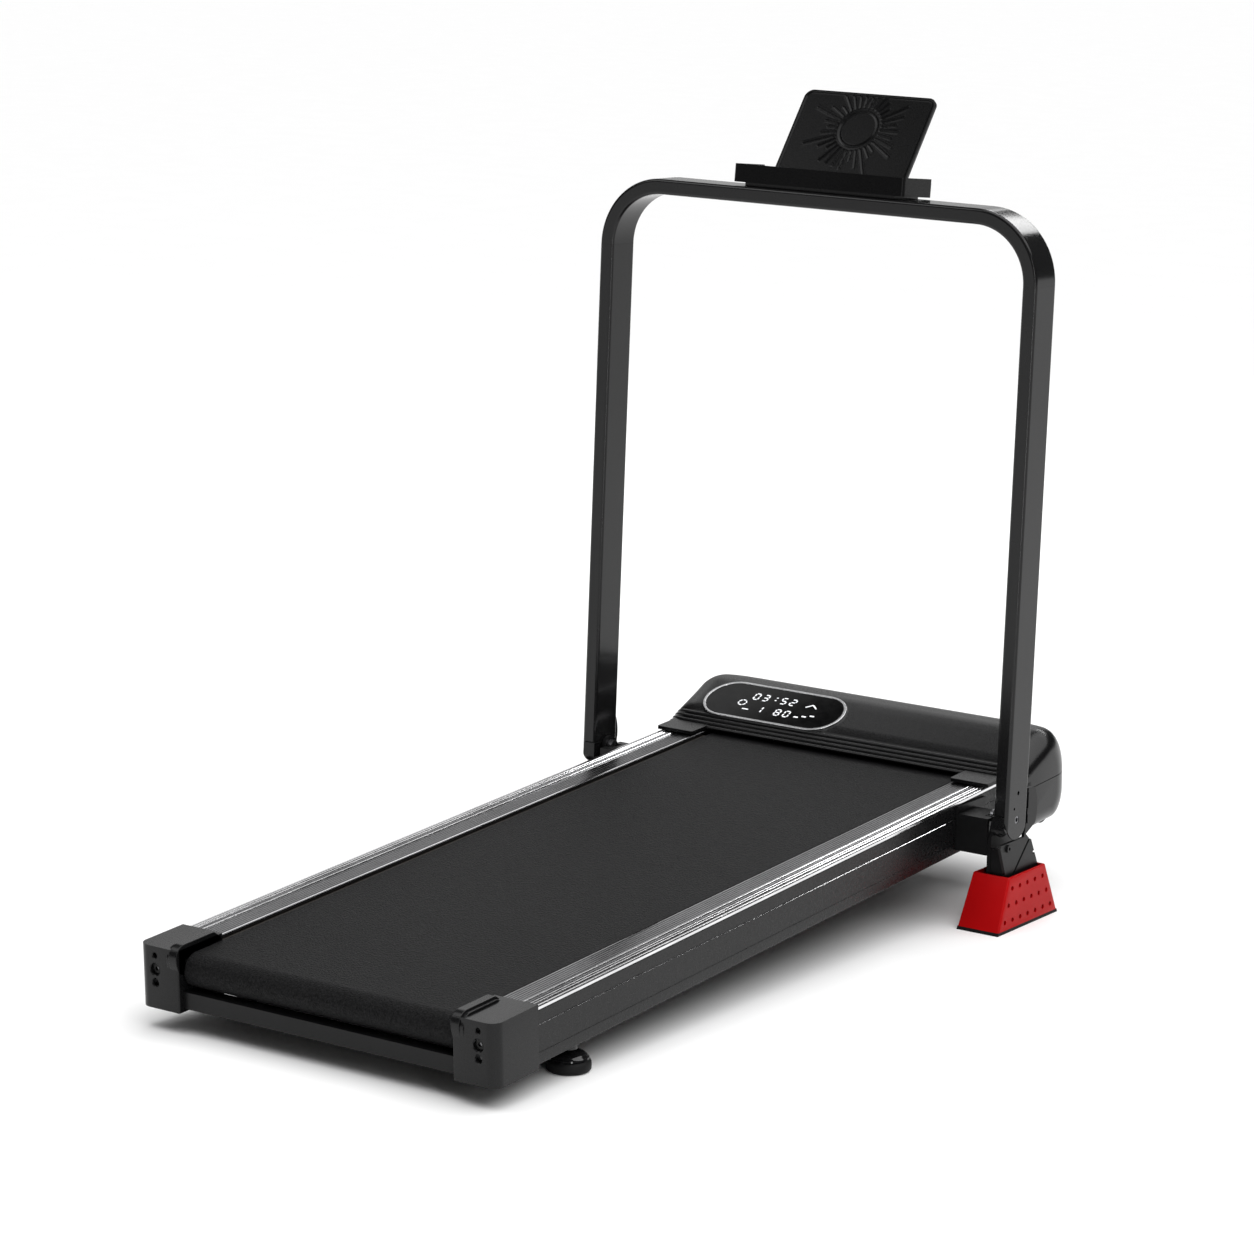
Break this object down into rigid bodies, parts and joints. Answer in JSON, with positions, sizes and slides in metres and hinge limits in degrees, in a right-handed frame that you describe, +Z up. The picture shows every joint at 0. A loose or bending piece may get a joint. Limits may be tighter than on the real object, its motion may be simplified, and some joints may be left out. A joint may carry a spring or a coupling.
{
  "type": "treadmill",
  "caption": "Folding home treadmill with a low running deck, front motor bay, fold-down U handrail, tablet tray and block feet.",
  "frame": {"origin": "centre of the footprint, on the floor", "axes": "+X is the runner's right, +Y points from the rear of the deck to the motor bay, +Z is up"},
  "size_m": [0.668, 1.251, 1.0063],
  "materials": {
    "rail_finish": "black anodised, satin, with bright beads",
    "frame_steel": "black powder coat, fine texture",
    "board": "laminated fibreboard",
    "rubber": "matt",
    "belt": "matt black with a fine weave",
    "bright_steel": "turned and zinc plated",
    "shell_plastic": "black, satin with a fine grain",
    "part_plastic": "black, moulded",
    "motor_paint": "black enamel",
    "drive_rubber": "ribbed belt, matt",
    "circuit": "coated circuit board",
    "heat_sink": "plain",
    "lens": "gloss black, lit figures behind it",
    "bezel": "dark bright trim",
    "wheel_plastic": "hard black plastic",
    "foot_red": "red, satin",
    "handrail_finish": "dark grey metallic, satin",
    "tray_plastic": "black, fine grain",
    "stud_finish": "gloss black"
  },
  "bodies": {
    "base": {"side_rail_left": "rail_finish", "side_rail_right": "rail_finish", "rear_cross_tube": "frame_steel", "support_tubes": "frame_steel", "deck_board": "board", "deck_cushions": "rubber", "running_belt": "belt", "rear_axle": "bright_steel", "tension_bolts": "bright_steel", "end_cap_left": "shell_plastic", "end_cap_right": "shell_plastic", "motor_tray": "bright_steel", "front_axle": "bright_steel", "motor_can": "motor_paint", "drive_belt": "drive_rubber", "control_board": "circuit", "heat_sink": "heat_sink", "motor_cover": "shell_plastic", "lower_pan": "shell_plastic", "display_bezel": "bezel", "display_lens": "lens", "display_board": "circuit", "power_inlet": "part_plastic", "switch_housing": "part_plastic", "wheel_forks": "bright_steel", "wheel_axles": "bright_steel", "leg_left": "frame_steel", "leg_right": "frame_steel", "link_left": "frame_steel", "link_right": "frame_steel", "foot_left": "foot_red", "foot_right": "foot_red", "sole_left": "rubber", "sole_right": "rubber", "foot_bolts": "bright_steel", "pivot_bolts": "bright_steel"},
    "handrail": {"upright_left": "handrail_finish", "upright_right": "handrail_finish", "crossbar": "handrail_finish", "pivot_bushes": "bright_steel", "upright_boots": "shell_plastic", "tablet_tray": "tray_plastic", "tray_clamp": "part_plastic", "panel_pins": "bright_steel"},
    "panel": {"tablet_panel": "tray_plastic"},
    "rear_drum": {"rear_roller": "bright_steel"},
    "front_drum": {"front_roller": "bright_steel", "roller_pulley": "part_plastic"},
    "rotor": {"motor_shaft": "bright_steel", "motor_pulley": "bright_steel", "flywheel": "bright_steel", "cooling_fan": "part_plastic"},
    "rocker": {"power_switch": "part_plastic"},
    "wheel_left": {"transport_wheel_left": "wheel_plastic"},
    "wheel_right": {"transport_wheel_right": "wheel_plastic"},
    "level_left": {"level_stud_left": "stud_finish", "level_pad_left": "rubber"},
    "level_right": {"level_stud_right": "stud_finish", "level_pad_right": "rubber"}
  },
  "joints": [
    {"name": "handrail_fold", "type": "hinge", "parent": "base", "child": "handrail", "pos_m": [0, 0.3706, 0.136], "axis": [1, 0, 0], "range_deg": [0, 91.5]},
    {"name": "panel_fold", "type": "hinge", "parent": "handrail", "child": "panel", "pos_m": [0, 0.42268, 0.90182], "axis": [1, 0, 0], "range_deg": [0, 60]},
    {"name": "front_drum_spin", "type": "hinge", "parent": "base", "child": "front_drum", "pos_m": [0, 0.49473, 0.13523], "axis": [1, 0, 0], "continuous": true},
    {"name": "rear_drum_spin", "type": "hinge", "parent": "base", "child": "rear_drum", "pos_m": [0, -0.59355, 0.074], "axis": [1, 0, 0], "continuous": true},
    {"name": "motor_spin", "type": "hinge", "parent": "base", "child": "rotor", "pos_m": [0, 0.5683, 0.14487], "axis": [1, 0, 0], "continuous": true},
    {"name": "wheel_left_spin", "type": "hinge", "parent": "base", "child": "wheel_left", "pos_m": [-0.24075, 0.56667, 0.10271], "axis": [1, 0, 0], "continuous": true},
    {"name": "wheel_right_spin", "type": "hinge", "parent": "base", "child": "wheel_right", "pos_m": [0.24075, 0.56667, 0.10271], "axis": [1, 0, 0], "continuous": true},
    {"name": "rocker_tilt", "type": "hinge", "parent": "base", "child": "rocker", "pos_m": [-0.144, 0.61779, 0.13764], "axis": [1, 0, 0], "range_deg": [-14, 0]},
    {"name": "level_left_turn", "type": "hinge", "parent": "base", "child": "level_left", "pos_m": [-0.223, -0.44634, 0.02], "axis": [0, 0, 1], "continuous": true},
    {"name": "level_right_turn", "type": "hinge", "parent": "base", "child": "level_right", "pos_m": [0.223, -0.44634, 0.02], "axis": [0, 0, 1], "continuous": true}
  ],
  "couplings": [
    {"joint": "rear_drum_spin", "follows": "front_drum_spin", "ratio": 1},
    {"joint": "motor_spin", "follows": "front_drum_spin", "ratio": 2.8}
  ]
}
